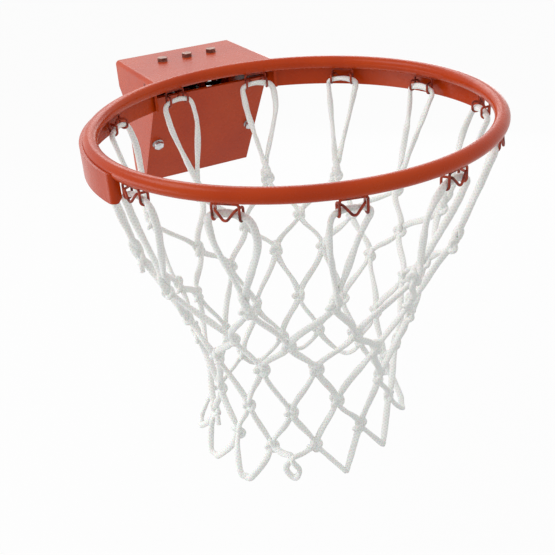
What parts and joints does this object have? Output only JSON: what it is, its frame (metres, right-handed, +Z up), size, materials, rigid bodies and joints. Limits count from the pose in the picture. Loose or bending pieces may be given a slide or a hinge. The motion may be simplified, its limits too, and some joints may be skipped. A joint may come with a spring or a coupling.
{
  "type": "basketball ring with net",
  "caption": "Wall-mounted sprung steel basketball ring with a bracket, hinged top plate, wire net hooks and a knotted rope net",
  "frame": {"origin": "centre of the four wall holes, on the face that meets the wall", "axes": "+X to the right for someone facing the wall, +Y into the wall, +Z up; the ring is at -Y"},
  "size_m": [0.4916, 0.618, 0.4243],
  "materials": {
    "orange_coat": "gloss orange powder coat",
    "dark_red_coat": "thin brownish red coat on wire",
    "zinc_plate": "bright zinc plate",
    "bronzed_steel": "yellow-passivated steel, darkened",
    "spring_steel": "oiled spring steel",
    "buffer_rubber": "matt black rubber",
    "net_rope": "white braided polyester rope"
  },
  "bodies": {
    "bracket": {"wall_plate": "orange_coat", "side_plate_left": "orange_coat", "side_plate_right": "orange_coat", "front_cover": "orange_coat", "spring_shelf": "orange_coat", "spring_seat_left": "bronzed_steel", "spring_seat_middle": "bronzed_steel", "spring_seat_right": "bronzed_steel", "cover_screw_left": "zinc_plate", "cover_screw_right": "zinc_plate", "cover_washer_left": "zinc_plate", "cover_washer_right": "zinc_plate", "cover_nut_left": "zinc_plate", "cover_nut_right": "zinc_plate", "stop_buffer_left": "buffer_rubber", "stop_buffer_right": "buffer_rubber", "buffer_nut_left": "bronzed_steel", "buffer_nut_right": "bronzed_steel", "thrust_washer_left": "zinc_plate", "thrust_washer_right": "zinc_plate"},
    "rim": {"ring": "orange_coat", "rim_channel": "orange_coat", "wing_left": "orange_coat", "wing_right": "orange_coat", "hinge_pin": "dark_red_coat", "net_hook_01": "dark_red_coat", "net_hook_02": "dark_red_coat", "net_hook_03": "dark_red_coat", "net_hook_04": "dark_red_coat", "net_hook_05": "dark_red_coat", "net_hook_06": "dark_red_coat", "net_hook_07": "dark_red_coat", "net_hook_08": "dark_red_coat", "net_hook_09": "dark_red_coat", "net_hook_10": "dark_red_coat", "net_hook_11": "dark_red_coat", "net_hook_12": "dark_red_coat"},
    "spring_bolts": {"spring_bolt_left": "bronzed_steel", "spring_bolt_middle": "bronzed_steel", "spring_bolt_right": "bronzed_steel", "spring_left": "spring_steel", "spring_middle": "spring_steel", "spring_right": "spring_steel", "spring_washer_left": "bronzed_steel", "spring_washer_middle": "bronzed_steel", "spring_washer_right": "bronzed_steel", "spring_nut_left": "bronzed_steel", "spring_nut_middle": "bronzed_steel", "spring_nut_right": "bronzed_steel", "lock_nut_left": "bronzed_steel", "lock_nut_middle": "bronzed_steel", "lock_nut_right": "bronzed_steel"},
    "net": {"net": "net_rope"}
  },
  "joints": [
    {"name": "rim_tilt", "type": "hinge", "parent": "bracket", "child": "rim", "pos_m": [0, -0.122, 0.0954], "axis": [1, 0, 0], "range_deg": [0, 25], "stiffness_Nm_per_rad": 440, "springref_deg": -57.3, "deforming": ["spring_left", "spring_middle", "spring_right", "net"]},
    {"name": "bolts_rock", "type": "hinge", "parent": "rim", "child": "spring_bolts", "pos_m": [0, -0.048, 0.1065], "axis": [1, 0, 0], "range_deg": [-13, 0]},
    {"name": "net_hang", "type": "slide", "parent": "rim", "child": "net", "axis": [0, -1, 0], "range_m": [0, 0.18]}
  ],
  "couplings": [
    {"joint": "bolts_rock", "follows": "rim_tilt", "ratio": -0.5},
    {"joint": "net_hang", "follows": "rim_tilt", "m_per_rad": 0.4}
  ]
}
